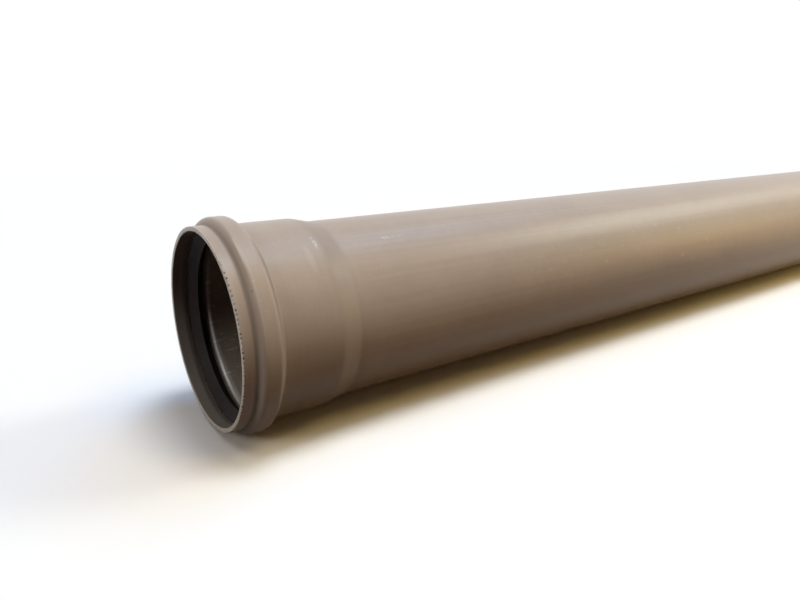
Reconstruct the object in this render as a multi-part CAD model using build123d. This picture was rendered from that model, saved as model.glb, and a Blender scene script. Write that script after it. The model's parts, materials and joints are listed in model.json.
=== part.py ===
"""Push-fit PVC drain pipe, nominal size 110, with the rubber sealing ring in its socket.

The pipe is drawn about the X axis with the mouth of its socket at x = 0 and its plain end, the
spigot, towards +X. It is then laid on the floor as it would lie by itself: on the bead round its
socket and on its spigot, so its axis leans by a fraction of a degree. The origin is on the floor,
under the middle of the pipe. Lengths are millimetres and angles are degrees.
"""

from build123d import *
import math
import os

# Plain pipe
PIPE_DIAMETER = 110.0  # outside
WALL = 2.6  # the socket is formed from the pipe, so it has the same wall
LAYING_LENGTH = 1000.0  # from the bottom of the socket to the end of the spigot

# Spigot end
SPIGOT_CHAMFER_DEPTH = 1.5
SPIGOT_CHAMFER_ANGLE = 15.0  # from the pipe's own surface

# Socket, along the axis from its mouth
SOCKET_DEPTH = 58.5  # mouth to the start of the taper
LIP_LENGTH = 7.5
BEAD_FRONT_RUN = 2.5
BEAD_CREST_LENGTH = 9.5
BEAD_BACK_RUN = 3.5
TAPER_LENGTH = 12.5

# Socket, across the axis
SPIGOT_PLAY = 0.3  # radial room for a spigot in the socket's bore
LIP_PLAY = 1.2  # radial room for a spigot at the mouth
GROOVE_DEPTH = 5.1  # of the seal's groove, from the socket's bore

# Bends of the wall: the radius on the tight side, the other side being one wall wider
LIP_BEND = 1.3
BEAD_FRONT_BEND = 0.7
BEAD_BACK_BEND = 0.4
BEAD_FOOT_BEND = 1.3
TAPER_BEND = 9.0
RIM_EDGE_BREAK = 0.4

# Sealing ring, drawn as a spigot presses it into the groove
SEAL_SEAT_GAP = 0.2  # between the ring and each wall of the groove
SEAL_PRESSED_PLAY = 0.15  # radial room left for a spigot
SEAL_NOSE_SETBACK = 0.8  # nose of the ring, outside the lip's bore
SEAL_LEAD_IN = 3.0  # length of the slope from the nose down to the spigot
SEAL_HEEL_RUN = 1.5  # length of the slope at the back of the pressed lip
SEAL_EDGE_ROUND = 0.3

# Radii of the outer surface
pipe_radius = PIPE_DIAMETER / 2
socket_radius = pipe_radius + SPIGOT_PLAY + WALL
lip_radius = pipe_radius + LIP_PLAY + WALL
bead_radius = socket_radius + GROOVE_DEPTH

# Radii of the inner surface
pipe_bore_radius = pipe_radius - WALL
socket_bore_radius = socket_radius - WALL
lip_bore_radius = lip_radius - WALL
groove_radius = bead_radius - WALL

# Places along the axis
bead_crest_start = LIP_LENGTH + BEAD_FRONT_RUN
bead_crest_end = bead_crest_start + BEAD_CREST_LENGTH
bead_foot = bead_crest_end + BEAD_BACK_RUN
taper_end = SOCKET_DEPTH + TAPER_LENGTH
pipe_length = SOCKET_DEPTH + LAYING_LENGTH
spigot_chamfer_length = SPIGOT_CHAMFER_DEPTH / math.tan(math.radians(SPIGOT_CHAMFER_ANGLE))
spigot_start = pipe_length - spigot_chamfer_length

# The bead's flanks, and the groove's corners on the inside of the wall
front_flank_angle = math.atan2(bead_radius - lip_radius, BEAD_FRONT_RUN)
back_flank_angle = math.atan2(bead_radius - socket_radius, BEAD_BACK_RUN)
front_corner_shift = WALL * math.tan(front_flank_angle / 2)
back_corner_shift = WALL * math.tan(back_flank_angle / 2)
groove_mouth_start = LIP_LENGTH + front_corner_shift
groove_floor_start = bead_crest_start + front_corner_shift
groove_floor_end = bead_crest_end - back_corner_shift
groove_mouth_end = bead_foot - back_corner_shift


def lying_lean() -> float:
    """Angle of the axis when the pipe rests on the back edge of its bead and on its spigot."""
    bead_bend = BEAD_BACK_BEND + WALL
    bend_centre = bead_crest_end - bead_bend * math.tan(back_flank_angle / 2)
    rise = bead_radius - bead_bend - pipe_radius
    run = spigot_start - bend_centre
    return math.degrees(math.atan2(rise, run) + math.asin(bead_bend / math.hypot(rise, run)))


def lay_on_floor(lean: float, middle: float) -> Location:
    """Placing that leans the axis, sets the spigot on the floor and centres the pipe along X."""
    axis_height = pipe_radius * math.cos(math.radians(lean)) + spigot_start * math.sin(math.radians(lean))
    return Pos(-middle, 0, axis_height) * Rot(0, lean, 0)


def make_pipe() -> Part:
    """Pipe with its socket: one wall of even thickness turned about the axis."""
    outer_corners = [
        (0, lip_radius),
        (LIP_LENGTH, lip_radius),
        (bead_crest_start, bead_radius),
        (bead_crest_end, bead_radius),
        (bead_foot, socket_radius),
        (SOCKET_DEPTH, socket_radius),
        (taper_end, pipe_radius),
        (pipe_length, pipe_radius),
    ]
    bends = [
        LIP_BEND,
        BEAD_FRONT_BEND + WALL,
        BEAD_BACK_BEND + WALL,
        BEAD_FOOT_BEND,
        TAPER_BEND + WALL,
        TAPER_BEND,
    ]
    spigot_corner = [
        (spigot_start, pipe_radius),
        (pipe_length, pipe_radius),
        (pipe_length, pipe_radius - SPIGOT_CHAMFER_DEPTH),
    ]
    with BuildPart() as pipe:
        with BuildSketch(Plane.XZ) as wall_section:
            with BuildLine():
                FilletPolyline(*outer_corners, radius=bends)
                offset(amount=WALL, side=Side.RIGHT)
            make_face()
            rim_corners = wall_section.vertices().group_by(Axis.X)[0]
            fillet(rim_corners, RIM_EDGE_BREAK)
            with BuildLine():
                Polyline(*spigot_corner, close=True)
            make_face(mode=Mode.SUBTRACT)
        revolve(axis=Axis.X)
    return pipe.part


def make_sealing_ring() -> Part:
    """Rubber ring that fills the groove, its lip pressed flat as a spigot leaves it."""
    pressed_radius = pipe_radius + SEAL_PRESSED_PLAY
    seat_radius = groove_radius - SEAL_SEAT_GAP
    nose_radius = lip_bore_radius + SEAL_NOSE_SETBACK

    def front_x(radius: float) -> float:
        """Place of the ring's front flank at a radius, one seat gap behind the groove's flank."""
        climb = (radius - lip_bore_radius) / math.tan(front_flank_angle)
        return groove_mouth_start + climb + SEAL_SEAT_GAP / math.sin(front_flank_angle)

    def back_x(radius: float) -> float:
        """Place of the ring's back flank at a radius, one seat gap before the groove's flank."""
        climb = (radius - socket_bore_radius) / math.tan(back_flank_angle)
        return groove_mouth_end - climb - SEAL_SEAT_GAP / math.sin(back_flank_angle)

    heel_radius = pressed_radius + SEAL_HEEL_RUN
    nose_x = front_x(nose_radius)
    heel_x = back_x(heel_radius)
    corners = [
        (nose_x, nose_radius),
        (nose_x + SEAL_LEAD_IN, pressed_radius),
        (heel_x - SEAL_HEEL_RUN, pressed_radius),
        (heel_x, heel_radius),
        (back_x(seat_radius), seat_radius),
        (front_x(seat_radius), seat_radius),
    ]
    with BuildPart() as ring:
        with BuildSketch(Plane.XZ):
            with BuildLine():
                FilletPolyline(*corners, radius=SEAL_EDGE_ROUND, close=True)
            make_face()
        revolve(axis=Axis.X)
    return ring.part


def main() -> None:
    """Builds both pieces, lays them on the floor and writes one file for each."""
    pipe = make_pipe()
    lean = lying_lean()
    extent = (Rot(0, lean, 0) * pipe).bounding_box()
    placing = lay_on_floor(lean, extent.center().X)
    os.makedirs("parts", exist_ok=True)
    for name, piece in {"pipe": pipe, "sealing_ring": make_sealing_ring()}.items():
        export_step(placing * piece, f"parts/{name}.step")


if __name__ == "__main__":
    main()
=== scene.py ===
"""Looks of a push-fit PVC drain pipe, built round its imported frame.

Sizes of the pieces are millimetres in the pipe's own axes: x runs from the mouth of the socket to the
spigot, y away from the viewer and z up. The placing turns them into the frame's metres.
"""

import json
import logging
import math
from dataclasses import dataclass
from enum import Enum

import bpy
from mathutils import Matrix, Vector


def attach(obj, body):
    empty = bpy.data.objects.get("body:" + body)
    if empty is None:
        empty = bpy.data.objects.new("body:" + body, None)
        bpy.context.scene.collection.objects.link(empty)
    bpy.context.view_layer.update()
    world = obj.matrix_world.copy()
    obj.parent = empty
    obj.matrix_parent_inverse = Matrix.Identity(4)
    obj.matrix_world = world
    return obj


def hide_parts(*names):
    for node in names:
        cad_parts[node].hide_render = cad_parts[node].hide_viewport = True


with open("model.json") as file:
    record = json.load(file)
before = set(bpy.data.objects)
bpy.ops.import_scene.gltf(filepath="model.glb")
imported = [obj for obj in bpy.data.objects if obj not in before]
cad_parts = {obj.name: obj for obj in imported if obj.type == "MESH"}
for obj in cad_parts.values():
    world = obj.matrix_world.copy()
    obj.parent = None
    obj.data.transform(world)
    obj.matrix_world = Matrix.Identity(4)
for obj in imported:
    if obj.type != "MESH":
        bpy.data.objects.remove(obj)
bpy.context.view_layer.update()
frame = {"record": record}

log = logging.getLogger("drain_pipe")

MM = 0.001
FULL_TURN = 360.0

Point = tuple[float, float]
Fade = tuple[float, float]
Colour = tuple[float, float, float, float]


class Ring(Enum):
    """Nodes of the frame that the turned pieces stand for."""

    PIPE = "pipe"
    SEAL = "sealing_ring"


class LampKind(Enum):
    """Kinds of lamp in the studio."""

    SOFTBOX = "AREA"
    SKY = "SUN"


@dataclass(frozen=True)
class Grain:
    """A noise: how often it changes in a millimetre along and across the axis, and how fine it is."""

    along: float
    across: float
    detail: float = 3.0


@dataclass(frozen=True)
class Scatter:
    """Round specks: distance between the places that may hold one, largest radius, share of places kept."""

    pitch: float
    size: float
    kept: float


@dataclass(frozen=True)
class Mark:
    """A soft oval mark on the wall, outside or in the socket's bore.

    The station is its distance from the mouth. The turn is in degrees, from level with the axis on the
    viewer's side up to 90 on top, and marks below that side have negative turns. Length, in millimetres
    along the axis, and width, in degrees, reach from the middle to the edge.
    """

    station: float
    turn: float
    length: float
    width: float
    strength: float


class Value:
    """One number in a node tree, for use in Python expressions."""

    def __init__(self, graph: "Graph", socket: bpy.types.NodeSocket) -> None:
        """Wraps an output socket of a node in the graph."""
        self.graph = graph
        self.socket = socket

    def __add__(self, other: "Value | float") -> "Value":
        """Sum of two values."""
        return self.graph.math("ADD", self, other)

    def __radd__(self, other: float) -> "Value":
        """Sum with a plain number first."""
        return self.graph.math("ADD", other, self)

    def __sub__(self, other: "Value | float") -> "Value":
        """Difference of two values."""
        return self.graph.math("SUBTRACT", self, other)

    def __rsub__(self, other: float) -> "Value":
        """Difference with a plain number first."""
        return self.graph.math("SUBTRACT", other, self)

    def __mul__(self, other: "Value | float") -> "Value":
        """Product of two values."""
        return self.graph.math("MULTIPLY", self, other)

    def __rmul__(self, other: float) -> "Value":
        """Product with a plain number first."""
        return self.graph.math("MULTIPLY", other, self)

    def __truediv__(self, other: "Value | float") -> "Value":
        """Quotient of two values."""
        return self.graph.math("DIVIDE", self, other)

    def __abs__(self) -> "Value":
        """Distance from zero."""
        return self.graph.math("ABSOLUTE", self)

    def step(self, low: float, high: float) -> "Value":
        """Soft step of this value.

        Args:
            low: Value at which the step is 0.
            high: Value at which the step is 1, which may be the smaller of the two.

        Returns:
            A value between 0 and 1.
        """
        ends = {"Value": self, "From Min": low, "From Max": high}
        node = self.graph.add("ShaderNodeMapRange", {"interpolation_type": "SMOOTHSTEP"}, ends)
        return Value(self.graph, node.outputs["Result"])


class Graph:
    """Adds nodes to one node tree."""

    def __init__(self, tree: bpy.types.NodeTree) -> None:
        """Takes the tree that the nodes go into."""
        self.tree = tree

    def socket(self, sockets: bpy.types.bpy_prop_collection, key: str | int) -> bpy.types.NodeSocket:
        """Finds a socket by its number, or by its identifier before its name."""
        if isinstance(key, int):
            return sockets[key]
        for socket in sockets:
            if socket.identifier == key:
                return socket
        return sockets[key]

    def add(self, kind: str, settings: dict | None = None, inputs: dict | None = None) -> bpy.types.Node:
        """Adds one node.

        Args:
            kind: Blender's name for the node's type.
            settings: Properties of the node, which are set first.
            inputs: Values, sockets or plain numbers for the node's input sockets.

        Returns:
            The new node.
        """
        node = self.tree.nodes.new(kind)
        for name, setting in (settings or {}).items():
            setattr(node, name, setting)
        for key, given in (inputs or {}).items():
            socket = self.socket(node.inputs, key)
            if isinstance(given, Value):
                given = given.socket
            if isinstance(given, bpy.types.NodeSocket):
                self.tree.links.new(given, socket)
            else:
                socket.default_value = given
        return node

    def math(self, operation: str, *operands: Value | float) -> Value:
        """Adds one Math node and gives its result."""
        node = self.add("ShaderNodeMath", {"operation": operation}, dict(enumerate(operands)))
        return Value(self, node.outputs[0])

    def split(self, vector: bpy.types.NodeSocket) -> tuple[Value, Value, Value]:
        """Gives the three parts of a vector."""
        node = self.add("ShaderNodeSeparateXYZ", inputs={0: vector})
        return Value(self, node.outputs[0]), Value(self, node.outputs[1]), Value(self, node.outputs[2])

    def vector(self, x: Value | float, y: Value | float, z: Value | float) -> bpy.types.NodeSocket:
        """Joins three values into a vector."""
        return self.add("ShaderNodeCombineXYZ", inputs={0: x, 1: y, 2: z}).outputs[0]

    def noise(self, vector: bpy.types.NodeSocket, detail: float) -> Value:
        """Adds a noise texture and gives its value, which is about 0.5 on average."""
        inputs = {"Vector": vector, "Scale": 1.0, "Detail": detail}
        return Value(self, self.add("ShaderNodeTexNoise", inputs=inputs).outputs[0])

    def mix(self, share: Value, first: Colour | bpy.types.NodeSocket,
            second: Colour | bpy.types.NodeSocket) -> bpy.types.NodeSocket:
        """Mixes two colours.

        Args:
            share: How much of the second colour there is.
            first: Colour where the share is 0.
            second: Colour where the share is 1.

        Returns:
            The socket of the mixed colour.
        """
        inputs = {"Factor_Float": share, "A_Color": first, "B_Color": second}
        node = self.add("ShaderNodeMix", {"data_type": "RGBA"}, inputs)
        return self.socket(node.outputs, "Result_Color")


class Placing:
    """Where the pipe's own axes lie in the frame."""

    def __init__(self, record: dict) -> None:
        """Reads the spigot's place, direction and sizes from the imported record's mounts."""
        self.mounts = {mount["name"]: mount for mount in record["mounts"]}
        spigot = self.mounts["spigot"]
        self.along = Vector(spigot["axis"]).normalized()
        self.middle = Vector(spigot["pos_m"])

    def radius(self, mount: str) -> float:
        """Gives a mount's radius in millimetres."""
        return self.mounts[mount]["dims"]["r_mm"]

    def settle(self, spigot_middle: float) -> None:
        """Works out the placing.

        Args:
            spigot_middle: Distance of the spigot mount's place from the mouth, in millimetres.
        """
        away = Vector((0, 0, 1)).cross(self.along).normalized()
        up = self.along.cross(away)
        mouth = self.middle - self.along * spigot_middle * MM
        turned = Matrix((self.along, away, up)).transposed().to_4x4()
        self.mouth = mouth
        self.matrix = Matrix.Translation(mouth) @ turned @ Matrix.Scale(MM, 4)
        self.turn = turned.to_euler()

    def point(self, x: float, y: float, z: float) -> Vector:
        """Takes a point of the pipe's axes, in millimetres, to the frame."""
        return self.matrix @ Vector((x, y, z))

    def surface(self, graph: Graph) -> bpy.types.NodeSocket:
        """Gives the place on a surface in the pipe's axes, in millimetres."""
        place = graph.add("ShaderNodeTexCoord").outputs["Object"]
        inputs = {"Vector": place, "Location": self.mouth, "Rotation": self.turn, "Scale": (MM, MM, MM)}
        return graph.add("ShaderNodeMapping", {"vector_type": "TEXTURE"}, inputs).outputs[0]


class Skin:
    """The pipe's surface in one material: its places, and the patterns that lie on it."""

    MM_PER_DEGREE = 0.96
    MEAN = 0.5
    SMALLEST = 0.35
    SPECK_CORE = 0.5
    CHANCE_EDGE = 0.01
    MARK_EDGE = (1.0, 0.1)

    def __init__(self, graph: Graph, placing: Placing) -> None:
        """Adds the nodes that give each place along, across and round the axis."""
        self.graph = graph
        self.x, self.y, self.z = graph.split(placing.surface(graph))
        self.r = graph.math("SQRT", self.y * self.y + self.z * self.z)
        self.turn = graph.math("ARCTAN2", self.z, 0 - self.y) * math.degrees(1)

    def noise(self, grain: Grain) -> Value:
        """Gives a noise on the surface."""
        place = self.graph.vector(self.x * grain.along, self.y * grain.across, self.z * grain.across)
        return self.graph.noise(place, grain.detail)

    def specks(self, scatter: Scatter, squeeze: float = 1.0) -> Value:
        """Scatters specks over the unrolled surface.

        Args:
            scatter: How large and how many they are.
            squeeze: How far the axis is shortened first, which draws the specks out along it.

        Returns:
            1 on a speck and 0 beside it.
        """
        place = self.graph.vector(self.x * squeeze, self.turn * self.MM_PER_DEGREE, 0.0)
        inputs = {"Vector": place, "Scale": 1 / scatter.pitch}
        cells = self.graph.add("ShaderNodeTexVoronoi", {"voronoi_dimensions": "2D"}, inputs)
        chance, spread, _ = self.graph.split(cells.outputs["Color"])
        largest = scatter.size / scatter.pitch
        size = self.SMALLEST + (1 - self.SMALLEST) * spread
        reach = Value(self.graph, cells.outputs["Distance"]) / size
        kept = chance.step(scatter.kept, scatter.kept - self.CHANCE_EDGE)
        return reach.step(largest, self.SPECK_CORE * largest) * kept

    def marks(self, places: tuple[Mark, ...]) -> Value:
        """Adds up soft oval marks.

        Args:
            places: The marks.

        Returns:
            How strongly each place is marked.
        """
        total = 0.0
        for mark in places:
            along = (self.x - mark.station) / mark.length
            across = (self.turn - mark.turn) / mark.width
            total = (along * along + across * across).step(*self.MARK_EDGE) * mark.strength + total
        return total

    def bump(self, height: Value, strength: float, distance: float) -> bpy.types.NodeSocket:
        """Gives the surface's normal with a height laid over it."""
        inputs = {"Strength": strength, "Distance": distance, "Height": height}
        return self.graph.add("ShaderNodeBump", inputs=inputs).outputs[0]


@dataclass(frozen=True)
class Corner:
    """One corner of an outline: its distance from the mouth, its radius and its bend."""

    x: float
    r: float
    bend: float = 0.0


class Outline:
    """Closed outline of a turned piece, with its corners rounded."""

    ARC_STEP = math.radians(12)
    HOLD = 0.4

    def __init__(self, corners: list[Corner]) -> None:
        """Takes the corners in order, the outer wall from the mouth first."""
        self.corners = corners

    def points(self) -> list[Point]:
        """Works out the outline's points.

        Each bend is an arc, and a point just outside each arc keeps the straight runs flat.

        Returns:
            The points in order, each as distance from the mouth and radius.
        """
        points = []
        count = len(self.corners)
        for index, corner in enumerate(self.corners):
            before = self.corners[index - 1]
            after = self.corners[(index + 1) % count]
            points += self.bend(before, corner, after)
        return points

    def bend(self, before: Corner, corner: Corner, after: Corner) -> list[Point]:
        """Rounds one corner.

        Args:
            before: The corner before it.
            corner: The corner to round.
            after: The corner after it.

        Returns:
            The points of the arc with a holding point on each side, or the corner if it has no bend.
        """
        if corner.bend == 0:
            return [(corner.x, corner.r)]
        here = Vector((corner.x, corner.r))
        come = Vector((before.x, before.r)) - here
        go = Vector((after.x, after.r)) - here
        back, ahead = come.normalized(), go.normalized()
        half = back.angle(ahead) / 2
        tangent = corner.bend / math.tan(half)
        centre = here + (back + ahead).normalized() * corner.bend / math.sin(half)
        start = here + back * tangent - centre
        sweep = math.pi - 2 * half
        side = 1 if back.x * ahead.y - back.y * ahead.x < 0 else -1
        steps = max(2, round(sweep / self.ARC_STEP))
        arc = []
        for step in range(steps + 1):
            angle = side * sweep * step / steps
            turned = Vector((start.x * math.cos(angle) - start.y * math.sin(angle),
                             start.x * math.sin(angle) + start.y * math.cos(angle)))
            arc.append(tuple(centre + turned))
        held_before = here + back * min(tangent + self.HOLD, come.length / 2)
        held_after = here + ahead * min(tangent + self.HOLD, go.length / 2)
        return [tuple(held_before), *arc, tuple(held_after)]


class Turning:
    """Geometry Nodes tree that turns an outline about the pipe's axis and pits its rim."""

    SEAM_GAP = 0.001
    PIT = "pit"
    VIEWER_SIDE = 0.75
    PIT_SHIFT = 0.22
    SHALLOWEST = 0.3
    UNWORN = 0.12
    WORN_EDGE = (1.0, 0.55)

    def __init__(self) -> None:
        """Builds the tree."""
        self.tree = bpy.data.node_groups.new("turned_outline", "GeometryNodeTree")
        self.identifiers = {}
        self.sockets()
        self.graph = Graph(self.tree)
        self.build()

    def sockets(self) -> None:
        face = self.tree.interface
        face.new_socket("Geometry", in_out="INPUT", socket_type="NodeSocketGeometry")
        kinds = {
            "Segments": ("NodeSocketInt", 3),
            "Pits": ("NodeSocketInt", 0),
            "Pit Depth": ("NodeSocketFloat", 0.0),
            "Pit Width": ("NodeSocketFloat", 1.0),
            "Pit Reach": ("NodeSocketFloat", 1.0),
            "Rim Radius": ("NodeSocketFloat", 0.0),
            "Worn Place": ("NodeSocketFloat", 0.0),
            "Worn Reach": ("NodeSocketFloat", 1.0),
            "Seed": ("NodeSocketInt", 0),
            "Material": ("NodeSocketMaterial", None),
        }
        for name, (kind, plain) in kinds.items():
            socket = face.new_socket(name, in_out="INPUT", socket_type=kind)
            socket.default_value = plain
            self.identifiers[name] = socket.identifier
        face.new_socket("Geometry", in_out="OUTPUT", socket_type="NodeSocketGeometry")

    def build(self) -> None:
        """Sweeps the outline along a straight line, then bends that sheet round the axis."""
        graph = self.graph
        given = graph.add("NodeGroupInput").outputs
        outline = graph.add("GeometryNodeMeshToCurve", inputs={"Mesh": given["Geometry"]})
        line = graph.add("GeometryNodeCurvePrimitiveLine", inputs={"Start": (0, 0, 0), "End": (0, 0, 1)})
        count = Value(graph, given["Segments"]) + 1
        path = graph.add("GeometryNodeResampleCurve", inputs={"Curve": line.outputs[0], "Count": count})
        sweep = {"Curve": path.outputs[0], "Profile Curve": outline.outputs[0]}
        sheet = graph.add("GeometryNodeCurveToMesh", inputs=sweep)

        x, r, share = graph.split(graph.add("GeometryNodeInputPosition").outputs[0])
        pit = self.pit(given, x, r, share)
        marks = {"Geometry": sheet.outputs[0], "Name": self.PIT, "Value": pit}
        kind = {"data_type": "FLOAT", "domain": "POINT"}
        marked = graph.add("GeometryNodeStoreNamedAttribute", kind, marks)
        sink = pit * Value(graph, given["Pit Depth"])
        angle = share * math.tau
        radius = r - sink
        y = radius * graph.math("SINE", angle)
        z = radius * graph.math("COSINE", angle)
        placed = {"Geometry": marked.outputs[0], "Position": graph.vector(x + sink, y, z)}
        bent = graph.add("GeometryNodeSetPosition", inputs=placed)

        seam = {"Geometry": bent.outputs[0], "Distance": self.SEAM_GAP}
        closed = graph.add("GeometryNodeMergeByDistance", inputs=seam)
        smooth = graph.add("GeometryNodeSetShadeSmooth", inputs={"Geometry": closed.outputs[0]})
        real = graph.add("GeometryNodeRealizeInstances", inputs={"Geometry": smooth.outputs[0]})
        dress = {"Geometry": real.outputs[0], "Material": given["Material"]}
        dressed = graph.add("GeometryNodeSetMaterial", inputs=dress)
        graph.add("NodeGroupOutput", inputs={"Geometry": dressed.outputs[0]})

    def draw(self, number: Value, seed: Value, low: float, high: float) -> Value:
        """Draws a number for each pit.

        Args:
            number: Which pit it is.
            seed: Which set of draws it is from.
            low: Smallest draw.
            high: Largest draw.

        Returns:
            The number drawn.
        """
        inputs = {"Min_001": low, "Max_001": high, "ID": number, "Seed": seed}
        node = self.graph.add("FunctionNodeRandomValue", inputs=inputs)
        return Value(self.graph, self.graph.socket(node.outputs, "Value_001"))

    def pit(self, given: bpy.types.bpy_prop_collection, x: Value, r: Value, share: Value) -> Value:
        """Works out how far a point lies in one of the small pits round the rim's outer edge.

        Args:
            given: The tree's inputs.
            x: Distance from the mouth.
            r: Radius.
            share: Place round the axis, from 0 to 1.

        Returns:
            1 at the bottom of the deepest pit and 0 outside them all.
        """
        graph = self.graph
        pits = Value(graph, given["Pits"])
        rim = Value(graph, given["Rim Radius"])
        reach = Value(graph, given["Pit Reach"])
        seed = Value(graph, given["Seed"])
        place = share * pits
        number = graph.math("FLOOR", place)
        pitch = rim * math.tau / graph.math("MAXIMUM", pits, 1)
        middle = self.draw(number, seed, -self.PIT_SHIFT, self.PIT_SHIFT) + 0.5
        depth = self.draw(number, seed + 1, self.SHALLOWEST, 1.0)
        off = abs(share - Value(graph, given["Worn Place"])) / Value(graph, given["Worn Reach"])
        depth = depth * (self.UNWORN + (1 - self.UNWORN) * off.step(*self.WORN_EDGE))
        across = (place - number - middle) * pitch / Value(graph, given["Pit Width"])
        along = x / reach
        inward = (rim - r) / reach
        away = across * across + along * along + inward * inward
        return graph.math("MAXIMUM", 1 - away, 0) * depth

    def turn(self, name: str, outline: Outline, placing: Placing, sizes: dict) -> bpy.types.Object:
        """Turns an outline into a finished piece.

        Args:
            name: Name of the piece.
            outline: Its outline.
            placing: Where the pipe's axes lie in the frame.
            sizes: Values for the tree's inputs, by name, where they aren't the plain ones.

        Returns:
            The piece as a plain mesh at the origin.
        """
        points = outline.points()
        count = len(points)
        loop = bpy.data.meshes.new(name + "_outline")
        loop.from_pydata([(x, r, 0) for x, r in points], [(i, (i + 1) % count) for i in range(count)], [])
        blank = bpy.data.objects.new(name + "_blank", loop)
        bpy.context.scene.collection.objects.link(blank)
        modifier = blank.modifiers.new("turning", "NODES")
        modifier.node_group = self.tree
        for key, size in sizes.items():
            modifier[self.identifiers[key]] = size
        shaped = blank.evaluated_get(bpy.context.evaluated_depsgraph_get())
        mesh = bpy.data.meshes.new_from_object(shaped)
        mesh.name = name
        mesh.transform(placing.matrix)
        blank.modifiers.remove(modifier)
        bpy.data.objects.remove(blank)
        piece = bpy.data.objects.new(name, mesh)
        bpy.context.scene.collection.objects.link(piece)
        return piece


@dataclass(frozen=True)
class PvcFinish:
    """Satin, warm grey PVC as it leaves the extruder, handled and a little dusty, with painted shade and
    painted highlights on it.
    """

    # Colours
    body: Colour = (0.440, 0.357, 0.296, 1)
    shade: Colour = (0.382, 0.309, 0.255, 1)
    dust: Colour = (0.78, 0.73, 0.65, 1)
    # Pale colour for scuffs and scratches and for painted highlights
    rubbed_and_highlight: Colour = (0.66, 0.61, 0.55, 1)
    # The rim's face: paler as a whitened cut edge, and partly a painted highlight where it faces the light
    # from the mouth side
    pale_rim_and_highlight: Colour = (0.76, 0.70, 0.61, 1)
    # Painted shade: the socket's bore gets a darker colour, darkest by the lip, where little light gets in
    inner_shade: Colour = (0.185, 0.168, 0.155, 1)
    # Dark colour for soiling and for painted shade
    grime_and_shade: Colour = (0.09, 0.068, 0.050, 1)

    # Gloss
    roughness: float = 0.34
    rough_lines: float = 0.14
    rough_blotch: float = 0.1
    rough_dirt_and_shade: float = 0.2
    rough_specks: float = 0.3
    rough_wear_and_highlights: float = 0.12
    sheen: float = 0.18
    polish_roughness: float = 0.32
    polish_index: float = 2.0

    # Relief
    bump_strength: float = 0.10
    bump_distance: float = 0.00012
    high_lines: float = 0.7
    high_grain: float = 0.2
    high_specks: float = 0.8
    low_dirt_and_shade: float = 0.3

    # Noises, and how far they change the tone
    blotch: Grain = Grain(0.02, 0.02)
    mottle: Grain = Grain(0.15, 0.15)
    streak: Grain = Grain(0.004, 0.45, 5.0)
    hoop: Grain = Grain(1.6, 0.012, 4.0)
    grain: Grain = Grain(1.8, 1.8, 2.0)
    drift: Grain = Grain(0.012, 0.012, 1.0)
    tear: Grain = Grain(0.55, 0.55, 4.0)
    score: Grain = Grain(0.12, 0.9, 2.0)
    blotch_tone: float = 1.2
    mottle_tone: float = 0.8
    streak_tone: float = 1.5
    hoop_tone: float = 0.9

    # Soft edges of noises
    drift_patch: Fade = (0.40, 0.56)
    smear_patch: Fade = (0.40, 0.62)
    tear_patch: Fade = (0.38, 0.62)
    score_line: Fade = (0.62, 0.72)
    pit_floor: Fade = (0.05, 0.6)

    # Soft edges of zones: heights over the axis, then distances from the mouth
    drift_height: Fade = (-25, 25)
    under_height: Fade = (24, -30)
    taper_height: Fade = (10, 50)
    rim_face: Fade = (0.45, 0.15)
    seal_front: Fade = (12, 9)
    seal_back: Fade = (18, 20)

    # Soft edges of zones: from the lip's bore, from the socket's bottom and from the taper's end
    inside_wall: Fade = (0.7, 0.2)
    inside_back: Fade = (4.5, 1.5)
    taper_front: Fade = (-3, 2)
    taper_back: Fade = (3, -2)
    bell_back: Fade = (14, -2)

    # Strengths
    # Painted shade in the socket's bore and, stronger, in the lip
    inner_shade_strength: float = 0.5
    lip_shade_strength: float = 0.3
    rim_strength: float = 0.85
    # Soiling and painted shade in the rim's pits
    pit_dirt_and_shade: float = 0.8
    # Painted shade in the bead's concave corners: width of the darkest core
    corner_shade_core: float = 0.1
    most_dirt_and_shade: float = 0.85
    # Painted shade on the socket's underside
    under_shade: float = 0.10
    under_shade_mottle: float = 0.24
    # Painted shade on the taper, stronger on top
    taper_shade: float = 0.08
    taper_top_shade: float = 0.14
    score_strength: float = 0.5

    # Dust
    specks: Scatter = Scatter(4.6, 0.55, 0.42)
    smears: Scatter = Scatter(9, 2.4, 0.5)
    speck_squeeze: float = 0.45
    speck_strength: float = 0.36
    smear_strength: float = 0.20
    stray_specks: float = 0.3
    dusty: tuple[Mark, ...] = (
        Mark(330, 16, 190, 32, 1.0),
    )

    # Scuffs, soiling, painted highlights and painted shade in set places
    scuffs: tuple[Mark, ...] = (
        Mark(55.9, 58.5, 1.8, 6.0, 0.60),
        Mark(104.2, 58, 4.5, 1.8, 0.55),
        Mark(111.0, 58, 7.0, 1.0, 0.30),
    )
    # Painted highlights: pale lines on the bead's front crest and on the taper's start crest, where light
    # glints off the bends
    crest_highlights: tuple[Mark, ...] = (
        Mark(10.4, 55, 0.70, 12, 0.60),
        Mark(11.2, 40, 1.00, 45, 0.20),
        Mark(49.0, 48, 2.60, 12, 0.15),
    )
    polished: tuple[Mark, ...] = (
        Mark(21.2, -128, 4.4, 51, 1.0),
    )
    # A painted highlight on the bend at the groove's foot in the bore, then a few thin scratches
    bore_highlight_and_scratches: tuple[Mark, ...] = (
        Mark(21.2, -128, 4.8, 51, 0.60),
        Mark(22.5, -165, 3.5, 0.8, 0.35),
        Mark(23.0, -152, 5.0, 0.8, 0.40),
        Mark(23.5, -128, 4.5, 0.9, 0.45),
    )
    nicks: tuple[Mark, ...] = (
        Mark(9.5, 41, 0.30, 9.0, 0.28),
        Mark(9.6, 33, 0.45, 0.9, 0.50),
    )
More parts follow.
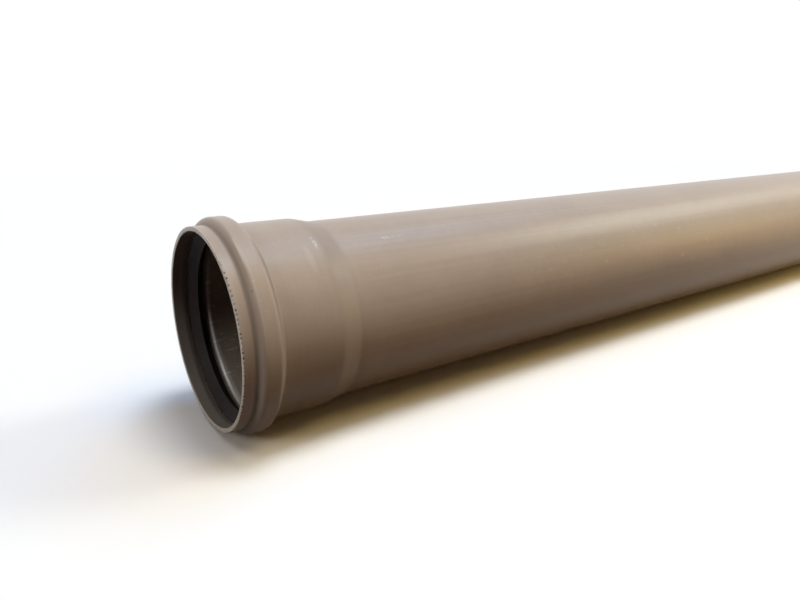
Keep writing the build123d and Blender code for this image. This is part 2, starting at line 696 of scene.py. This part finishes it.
    # Painted shade: dark bands in the bead's two concave corners, where light doesn't reach: station,
    # reach, strength
    shaded_corners: tuple[tuple[float, float, float], ...] = ((7.2, 1.9, 0.55), (21.4, 2.6, 0.45))

    def build(self, placing: Placing, pipe: "DrainPipe") -> bpy.types.Material:
        """Makes the material.

        Args:
            placing: Where the pipe's axes lie in the frame.
            pipe: The pipe whose corners the finish follows.

        Returns:
            The material.
        """
        material, graph = new_material("satin_pvc")
        skin = Skin(graph, placing)
        blotch = skin.noise(self.blotch)
        mottle = skin.noise(self.mottle)
        bell = (skin.x - pipe.taper_end).step(*self.bell_back)
        streak = skin.noise(self.streak)
        lines = streak + (skin.noise(self.hoop) - streak) * bell
        within = (skin.r - pipe.lip_bore).step(*self.inside_wall)
        within = within * (skin.x - pipe.socket_depth).step(*self.inside_back)

        # Painted shade on the socket's underside joins the other dark places
        dirt_and_shade = self.dirt_and_shade(skin, pipe) + bell * self.underside_shade(skin, mottle)
        dusty = skin.marks(self.dusty)
        smears = skin.specks(self.smears, self.speck_squeeze) * mottle.step(*self.smear_patch) * dusty
        specks = skin.specks(self.specks, self.speck_squeeze) * self.dusting(skin, dusty)
        wear_and_highlights = self.wear_and_highlights(skin, within)

        lines_tone = self.streak_tone + (self.hoop_tone - self.streak_tone) * bell
        tone = (blotch - Skin.MEAN) * self.blotch_tone + (mottle - Skin.MEAN) * self.mottle_tone
        tone = tone + (lines - Skin.MEAN) * lines_tone + Skin.MEAN
        # Painted shade in the socket's bore, stronger towards the lip
        shadow = within * (self.inner_shade_strength + self.lip_shade_strength * skin.x.step(*self.seal_front))
        colour = graph.mix(tone, self.shade, self.body)
        colour = graph.mix(shadow, colour, self.inner_shade)
        # The rim's face is paler: a whitened cut edge and partly a painted highlight
        colour = graph.mix(skin.x.step(*self.rim_face) * self.rim_strength, colour, self.pale_rim_and_highlight)
        # Soiling and painted shade
        colour = graph.mix(dirt_and_shade, colour, self.grime_and_shade)
        colour = graph.mix(specks * self.speck_strength + smears * self.smear_strength, colour, self.dust)
        # Scuffs, scratches and painted highlights
        colour = graph.mix(wear_and_highlights, colour, self.rubbed_and_highlight)

        roughness = (lines - Skin.MEAN) * self.rough_lines + (blotch - Skin.MEAN) * self.rough_blotch
        roughness = roughness + dirt_and_shade * self.rough_dirt_and_shade + specks * self.rough_specks + wear_and_highlights * self.rough_wear_and_highlights
        height = lines * self.high_lines + skin.noise(self.grain) * self.high_grain
        height = height + specks * self.high_specks - dirt_and_shade * self.low_dirt_and_shade
        surface = {
            "Base Color": colour,
            "Roughness": roughness + self.roughness,
            "Specular IOR Level": self.sheen,
            "Coat Weight": skin.marks(self.polished) * within,
            "Coat Roughness": self.polish_roughness,
            "Coat IOR": self.polish_index,
            "Normal": skin.bump(height, self.bump_strength, self.bump_distance),
        }
        cover(graph, surface)
        return material

    def dirt_and_shade(self, skin: Skin, pipe: "DrainPipe") -> Value:
        """Adds up the dark places: painted shade in the bead's two corners and on the taper, soiling and
        painted shade in the rim's pits, and the nicks.

        Args:
            skin: The surface.
            pipe: The pipe whose corners the dark places follow.

        Returns:
            How dark each place is.
        """
        graph = skin.graph
        pit = Value(graph, graph.add("ShaderNodeAttribute", {"attribute_name": Turning.PIT}).outputs["Fac"])
        # Soiling and painted shade in the rim's pits, and the dark nicks
        total = pit.step(*self.pit_floor) * self.pit_dirt_and_shade + skin.marks(self.nicks)
        # Painted shade in the bead's concave corners
        for station, reach, strength in self.shaded_corners:
            total = abs(skin.x - station).step(reach, self.corner_shade_core) * strength + total
        # Painted shade: the taper is darker all round, more so on top
        taper = (skin.x - pipe.socket_depth).step(*self.taper_front)
        taper = taper * (skin.x - pipe.taper_end).step(*self.taper_back)
        band = self.taper_shade + self.taper_top_shade * skin.z.step(*self.taper_height)
        return graph.math("MINIMUM", total, self.most_dirt_and_shade) + taper * band

    def underside_shade(self, skin: Skin, mottle: Value) -> Value:
        """Gives painted shade on the underside, which follows the mottled noise."""
        return skin.z.step(*self.under_height) * (self.under_shade + self.under_shade_mottle * mottle)

    def dusting(self, skin: Skin, dusty: Value) -> Value:
        """Gives how many of the specks show: all in the dusty zone, and a few where dust has drifted."""
        drift = skin.noise(self.drift).step(*self.drift_patch) * skin.z.step(*self.drift_height)
        return skin.graph.math("MAXIMUM", drift * self.stray_specks, dusty)

    def wear_and_highlights(self, skin: Skin, within: Value) -> Value:
        """Adds up the pale places: scuffs, painted highlights on the bead's and the taper's crests, and a
        painted highlight and scratches in the socket's bore.

        Args:
            skin: The surface.
            within: 1 in the socket's bore and 0 outside.

        Returns:
            How pale each place is, from scuffing and painted highlights.
        """
        scores = skin.noise(self.score).step(*self.score_line) * self.score_strength
        inner_wear_and_highlight = (scores + skin.marks(self.bore_highlight_and_scratches)) * within * skin.x.step(*self.seal_back)
        torn = skin.marks(self.scuffs) * skin.noise(self.tear).step(*self.tear_patch)
        return torn + skin.marks(self.crest_highlights) + inner_wear_and_highlight


@dataclass(frozen=True)
class RubberFinish:
    """Matte black moulded rubber with a little dust on it."""

    body: Colour = (0.0100, 0.0068, 0.0060, 1)
    bloom: Colour = (0.0200, 0.0140, 0.0125, 1)
    dust: Colour = (0.40, 0.38, 0.36, 1)
    roughness: float = 0.55
    rough_cloud: float = 0.2
    rough_specks: float = 0.3
    sheen: float = 0.12
    bump_strength: float = 0.2
    bump_distance: float = 0.00015
    high_hoop: float = 0.6
    cloud: Grain = Grain(0.08, 0.08)
    hoop: Grain = Grain(2.5, 0.03)
    bloom_patch: Fade = (0.4, 0.7)
    specks: Scatter = Scatter(7.0, 0.5, 0.1)
    speck_strength: float = 0.6

    def build(self, placing: Placing) -> bpy.types.Material:
        """Makes the material.

        Args:
            placing: Where the pipe's axes lie in the frame.

        Returns:
            The material.
        """
        material, graph = new_material("seal_rubber")
        skin = Skin(graph, placing)
        cloud = skin.noise(self.cloud)
        specks = skin.specks(self.specks)
        colour = graph.mix(cloud.step(*self.bloom_patch), self.body, self.bloom)
        colour = graph.mix(specks * self.speck_strength, colour, self.dust)
        roughness = (cloud - Skin.MEAN) * self.rough_cloud + specks * self.rough_specks
        height = skin.noise(self.hoop) * self.high_hoop + specks
        surface = {
            "Base Color": colour,
            "Roughness": roughness + self.roughness,
            "Specular IOR Level": self.sheen,
            "Normal": skin.bump(height, self.bump_strength, self.bump_distance),
        }
        cover(graph, surface)
        return material


def new_material(name: str) -> tuple[bpy.types.Material, Graph]:
    """Makes an empty node material.

    Args:
        name: Name of the material.

    Returns:
        The material and its nodes.
    """
    material = bpy.data.materials.new(name)
    material.use_nodes = True
    material.node_tree.nodes.clear()
    return material, Graph(material.node_tree)


def cover(graph: Graph, surface: dict) -> None:
    """Ends a material in one surface shader.

    Args:
        graph: The material's nodes.
        surface: Inputs of the shader.
    """
    shader = graph.add("ShaderNodeBsdfPrincipled", inputs=surface)
    graph.add("ShaderNodeOutputMaterial", inputs={"Surface": shader.outputs[0]})


@dataclass
class DrainPipe:
    """The pipe: socket with lip and bead, taper, plain length and chamfered spigot, all one wall."""

    bore: float
    outside: float
    socket_bore: float
    laying_length: float = 1000.0
    socket_depth: float = 58.5
    lip_length: float = 7.5
    lip_play: float = 1.2
    bead_front_run: float = 2.5
    bead_crest_length: float = 9.5
    bead_back_run: float = 3.5
    groove_depth: float = 5.1
    taper_length: float = 12.5
    chamfer_depth: float = 1.5
    chamfer_angle: float = 15.0
    lip_bend: float = 1.3
    bead_front_bend: float = 0.7
    bead_back_bend: float = 0.4
    bead_foot_bend: float = 1.3
    taper_bend: float = 9.0
    rim_break: float = 0.4
    sawn_break: float = 0.2
    pits: int = 150
    facets_per_pit: int = 5
    pit_depth: float = 0.5
    pit_width: float = 0.70
    pit_reach: float = 0.90
    pit_margin: float = 1.5
    worn_turn: float = 6.0
    worn_reach: float = 58.0
    seed: int = 4

    def __post_init__(self) -> None:
        """Works out the wall's corners from the driving sizes."""
        self.wall = self.outside - self.bore
        self.socket_radius = self.socket_bore + self.wall
        self.lip_bore = self.outside + self.lip_play
        self.lip_radius = self.lip_bore + self.wall
        self.bead_radius = self.socket_radius + self.groove_depth
        self.groove_radius = self.socket_bore + self.groove_depth
        self.crest_start = self.lip_length + self.bead_front_run
        self.crest_end = self.crest_start + self.bead_crest_length
        self.bead_foot = self.crest_end + self.bead_back_run
        self.taper_end = self.socket_depth + self.taper_length
        self.length = self.socket_depth + self.laying_length
        self.chamfer_start = self.length - self.chamfer_depth / math.tan(math.radians(self.chamfer_angle))
        self.front_slope = math.atan2(self.bead_radius - self.lip_radius, self.bead_front_run)
        self.back_slope = math.atan2(self.groove_depth, self.bead_back_run)
        self.taper_slope = math.atan2(self.socket_radius - self.outside, self.taper_length)
        self.front_shift = self.wall * math.tan(self.front_slope / 2)
        self.back_shift = self.wall * math.tan(self.back_slope / 2)
        self.taper_shift = self.wall * math.tan(self.taper_slope / 2)

    def spigot_middle(self) -> float:
        """Gives the middle of the plain straight outside, from the mouth."""
        plain_start = self.taper_end + self.taper_bend * math.tan(self.taper_slope / 2)
        return (plain_start + self.chamfer_start) / 2

    def outline(self) -> Outline:
        """Gives the outline of the wall."""
        wall = self.wall
        outer = [
            Corner(0, self.lip_radius, self.rim_break),
            Corner(self.pit_reach, self.lip_radius),
            Corner(self.pit_reach * self.pit_margin, self.lip_radius),
            Corner(self.lip_length, self.lip_radius, self.lip_bend),
            Corner(self.crest_start, self.bead_radius, self.bead_front_bend + wall),
            Corner(self.crest_end, self.bead_radius, self.bead_back_bend + wall),
            Corner(self.bead_foot, self.socket_radius, self.bead_foot_bend),
            Corner(self.socket_depth, self.socket_radius, self.taper_bend + wall),
            Corner(self.taper_end, self.outside, self.taper_bend),
            Corner(self.chamfer_start, self.outside, self.sawn_break),
            Corner(self.length, self.outside - self.chamfer_depth, self.sawn_break),
        ]
        inner = [
            Corner(self.length, self.bore, self.sawn_break),
            Corner(self.taper_end - self.taper_shift, self.bore, self.taper_bend + wall),
            Corner(self.socket_depth - self.taper_shift, self.socket_bore, self.taper_bend),
            Corner(self.bead_foot - self.back_shift, self.socket_bore, self.bead_foot_bend + wall),
            Corner(self.crest_end - self.back_shift, self.groove_radius, self.bead_back_bend),
            Corner(self.crest_start + self.front_shift, self.groove_radius, self.bead_front_bend),
            Corner(self.lip_length + self.front_shift, self.lip_bore, self.lip_bend + wall),
            Corner(0, self.lip_bore, self.rim_break),
            Corner(0, self.lip_radius - self.pit_reach * self.pit_margin),
            Corner(0, self.lip_radius - self.pit_reach),
        ]
        return Outline(outer + inner)

    def build(self, turning: Turning, placing: Placing, material: bpy.types.Material) -> None:
        """Builds and dresses the pipe.

        Args:
            turning: The tree that turns outlines.
            placing: Where the pipe's axes lie in the frame.
            material: The pipe's finish.
        """
        sizes = {
            "Segments": self.pits * self.facets_per_pit,
            "Pits": self.pits,
            "Pit Depth": self.pit_depth,
            "Pit Width": self.pit_width,
            "Pit Reach": self.pit_reach,
            "Rim Radius": self.lip_radius,
            "Worn Place": Turning.VIEWER_SIDE + self.worn_turn / FULL_TURN,
            "Worn Reach": self.worn_reach / FULL_TURN,
            "Seed": self.seed,
            "Material": material,
        }
        piece = turning.turn("socketed_pipe", self.outline(), placing, sizes)
        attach(piece, "root")
        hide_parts(Ring.PIPE.value)
        log.info("%s: %d faces", piece.name, len(piece.data.polygons))


@dataclass
class LipSeal:
    """The rubber ring in the bead's groove, its lip relaxed as no spigot presses it."""

    pipe: DrainPipe
    seat_gap: float = 0.2
    nose_station: float = 9.3
    nose_setback: float = 0.7
    shoulder_setback: float = 2.0
    lip_run: float = 5.1
    lip_reach: float = 5.9
    tip_thickness: float = 1.1
    root_thickness: float = 2.2
    heel_rise: float = 1.8
    edge_round: float = 0.35
    segments: int = 360

    def front(self, r: float) -> float:
        """Gives the place of the ring's front flank at a radius."""
        pipe = self.pipe
        climb = (r - pipe.lip_bore) / math.tan(pipe.front_slope)
        return pipe.lip_length + pipe.front_shift + climb + self.seat_gap / math.sin(pipe.front_slope)

    def back(self, r: float) -> float:
        """Gives the place of the ring's back flank at a radius."""
        pipe = self.pipe
        climb = (r - pipe.socket_bore) / math.tan(pipe.back_slope)
        return pipe.bead_foot - pipe.back_shift - climb - self.seat_gap / math.sin(pipe.back_slope)

    def outline(self) -> Outline:
        """Gives the outline of the relaxed ring."""
        seat = self.pipe.groove_radius - self.seat_gap
        shoulder = self.pipe.lip_bore + self.shoulder_setback
        nose = self.pipe.lip_bore + self.nose_setback
        heel = self.pipe.socket_bore + self.heel_rise
        tip_x = self.nose_station + self.lip_run
        tip = nose - self.lip_reach
        slope = math.atan2(self.lip_reach, self.lip_run)
        across = Vector((math.sin(slope), math.cos(slope)))
        back_tip = Vector((tip_x, tip)) + across * self.tip_thickness
        root_x = self.nose_station + (nose - heel) / math.tan(slope) + self.root_thickness / math.sin(slope)
        corners = [
            Corner(self.front(seat), seat, self.edge_round),
            Corner(self.back(seat), seat, self.edge_round),
            Corner(self.back(heel), heel, self.edge_round),
            Corner(root_x, heel, self.edge_round),
            Corner(back_tip.x, back_tip.y, self.edge_round),
            Corner(tip_x, tip, self.edge_round),
            Corner(self.nose_station, nose, self.edge_round),
            Corner(self.front(shoulder), shoulder),
        ]
        return Outline(corners)

    def build(self, turning: Turning, placing: Placing, material: bpy.types.Material) -> None:
        """Builds and dresses the ring.

        Args:
            turning: The tree that turns outlines.
            placing: Where the pipe's axes lie in the frame.
            material: The ring's finish.
        """
        sizes = {"Segments": self.segments, "Rim Radius": self.pipe.lip_radius, "Material": material}
        piece = turning.turn("lip_seal", self.outline(), placing, sizes)
        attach(piece, "root")
        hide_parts(Ring.SEAL.value)
        log.info("%s: %d faces", piece.name, len(piece.data.polygons))


@dataclass(frozen=True)
class Lamp:
    """One lamp, aimed at the pipe.

    The azimuth turns from the viewer's side towards the spigot. The spread is the angle of a sky lamp, in
    degrees, or the width of a softbox, in metres, and the distance is from the lamps' target, in metres.
    """

    name: str
    kind: LampKind
    azimuth: float
    elevation: float
    colour: tuple[float, float, float]
    strength: float
    spread: float
    distance: float = 1.5


@dataclass
class Studio:
    """Camera, floor, surroundings and lamps."""

    placing: Placing
    eye: tuple[float, float, float] = (-103.1, -334.8, 118.4)
    aim: tuple[float, float, float] = (136.4, 0.0, -4.9)
    lens: float = 28.08
    sensor: float = 36.0
    near_clip: float = 0.01
    floor_size: float = 40.0
    floor_seen: Colour = (0.96, 0.945, 0.935, 1)
    floor_bounce: Colour = (0.050, 0.030, 0.020, 1)
    fade_start: float = 0.9
    fade_end: float = 2.2
    white: Colour = (1, 1, 1, 1)
    ambient: Colour = (1.0, 0.5, 0.4, 1)
    ambient_strength: float = 0.04
    lamp_target: tuple[float, float, float] = (250.0, 0.0, 0.0)
    lamps: tuple[Lamp, ...] = (
        Lamp("overhead", LampKind.SKY, 62, 76, (0.88, 0.935, 1.0), 1.60, 22),
        Lamp("over_mouth", LampKind.SKY, -60, 68, (0.95, 0.98, 1.0), 0.46, 24),
        Lamp("front", LampKind.SKY, 34, 53, (1.0, 0.68, 0.18), 0.45, 20),
        Lamp("sky", LampKind.SKY, 109, 56, (0.25, 0.55, 1.0), 0.72, 26),
        Lamp("spigot_side", LampKind.SKY, 77, 36, (0.97, 0.99, 0.84), 0.76, 20),
        Lamp("mouth_side", LampKind.SKY, -85, 30, (1.0, 0.97, 0.90), 0.75, 18),
        Lamp("low_front", LampKind.SKY, 15, 5, (1.0, 0.15, 0.0), 0.11, 40),
        Lamp("gold_box", LampKind.SOFTBOX, 62, 16, (1.0, 0.84, 0.30), 1.00, 0.4, 1.05),
        Lamp("warm_box", LampKind.SOFTBOX, 60, 5, (1.0, 0.50, 0.02), 0.65, 0.4, 1.00),
    )

    def build(self) -> None:
        """Sets the camera, the floor, the surroundings and the lamps."""
        self.shoot()
        self.lay_floor()
        self.surround()
        for lamp in self.lamps:
            self.hang(lamp)
        bpy.context.scene.view_settings.view_transform = "Standard"

    def shoot(self) -> None:
        """Sets the camera at the photograph's viewpoint."""
        data = bpy.data.cameras.new("camera")
        data.lens = self.lens
        data.sensor_fit = "HORIZONTAL"
        data.sensor_width = self.sensor
        data.clip_start = self.near_clip
        camera = bpy.data.objects.new("camera", data)
        eye = self.placing.point(*self.eye)
        aim = self.placing.point(*self.aim)
        camera.location = eye
        camera.rotation_euler = (aim - eye).to_track_quat("-Z", "Y").to_euler()
        bpy.context.scene.collection.objects.link(camera)
        bpy.context.scene.camera = camera

    def seen(self, graph: Graph) -> Value:
        """Gives 1 for rays that show the surroundings to the viewer, in mirrors and glass too."""
        path = graph.add("ShaderNodeLightPath").outputs
        straight = Value(graph, path["Is Camera Ray"])
        mirrored = Value(graph, path["Is Glossy Ray"])
        through = Value(graph, path["Is Transmission Ray"])
        return graph.math("MAXIMUM", graph.math("MAXIMUM", straight, mirrored), through)

    def blend(self, graph: Graph, share: Value, first: bpy.types.Node,
              second: bpy.types.Node) -> bpy.types.Node:
        """Blends two shaders.

        Args:
            graph: The nodes they belong to.
            share: How much of the second shader there is.
            first: Shader where the share is 0.
            second: Shader where the share is 1.

        Returns:
            The node that blends them.
        """
        inputs = {0: share, 1: first.outputs[0], 2: second.outputs[0]}
        return graph.add("ShaderNodeMixShader", inputs=inputs)

    def lay_floor(self) -> None:
        """Lays a pale floor that fades into the white surroundings."""
        material, graph = new_material("pale_floor")
        x, y, _ = graph.split(graph.add("ShaderNodeTexCoord").outputs["Object"])
        far = graph.math("SQRT", x * x + y * y).step(self.fade_start, self.fade_end)
        near_floor = graph.add("ShaderNodeBsdfDiffuse", inputs={"Color": self.floor_seen})
        far_floor = graph.add("ShaderNodeEmission", inputs={"Color": self.white, "Strength": 1.0})
        bounce = graph.add("ShaderNodeBsdfDiffuse", inputs={"Color": self.floor_bounce})
        shown = self.blend(graph, far, near_floor, far_floor)
        surface = self.blend(graph, self.seen(graph), bounce, shown)
        graph.add("ShaderNodeOutputMaterial", inputs={"Surface": surface.outputs[0]})
        half = self.floor_size / 2
        corners = [(-half, -half, 0), (half, -half, 0), (half, half, 0), (-half, half, 0)]
        mesh = bpy.data.meshes.new("floor")
        mesh.from_pydata(corners, [], [(0, 1, 2, 3)])
        mesh.materials.append(material)
        floor = bpy.data.objects.new("floor", mesh)
        bpy.context.scene.collection.objects.link(floor)

    def surround(self) -> None:
        """Makes the surroundings white to the viewer and a soft fill for the object."""
        world = bpy.data.worlds.new("surroundings")
        world.use_nodes = True
        world.node_tree.nodes.clear()
        graph = Graph(world.node_tree)
        soft = {"Color": self.ambient, "Strength": self.ambient_strength}
        fill = graph.add("ShaderNodeBackground", inputs=soft)
        white = graph.add("ShaderNodeBackground", inputs={"Color": self.white, "Strength": 1.0})
        surface = self.blend(graph, self.seen(graph), fill, white)
        graph.add("ShaderNodeOutputWorld", inputs={"Surface": surface.outputs[0]})
        bpy.context.scene.world = world

    def hang(self, lamp: Lamp) -> None:
        """Hangs one lamp.

        Args:
            lamp: What it is and where it hangs.
        """
        turn, rise = math.radians(lamp.azimuth), math.radians(lamp.elevation)
        toward = Vector((math.sin(turn) * math.cos(rise), -math.cos(turn) * math.cos(rise), math.sin(rise)))
        data = bpy.data.lights.new(lamp.name, lamp.kind.value)
        data.color = lamp.colour
        data.energy = lamp.strength
        if lamp.kind is LampKind.SKY:
            data.angle = math.radians(lamp.spread)
        else:
            data.shape = "DISK"
            data.size = lamp.spread
        light = bpy.data.objects.new(lamp.name, data)
        light.location = self.placing.point(*self.lamp_target) + toward * lamp.distance
        light.rotation_euler = toward.to_track_quat("Z", "Y").to_euler()
        bpy.context.scene.collection.objects.link(light)


def main() -> None:
    """Builds the pipe, its seal and the studio."""
    logging.basicConfig(level=logging.INFO, format="%(name)s %(message)s")
    placing = Placing(frame["record"])
    pipe = DrainPipe(placing.radius("pipe_bore"), placing.radius("spigot"), placing.radius("socket"))
    placing.settle(pipe.spigot_middle())
    turning = Turning()
    pipe.build(turning, placing, PvcFinish().build(placing, pipe))
    LipSeal(pipe).build(turning, placing, RubberFinish().build(placing))
    Studio(placing).build()


if __name__ == "__main__":
    main()
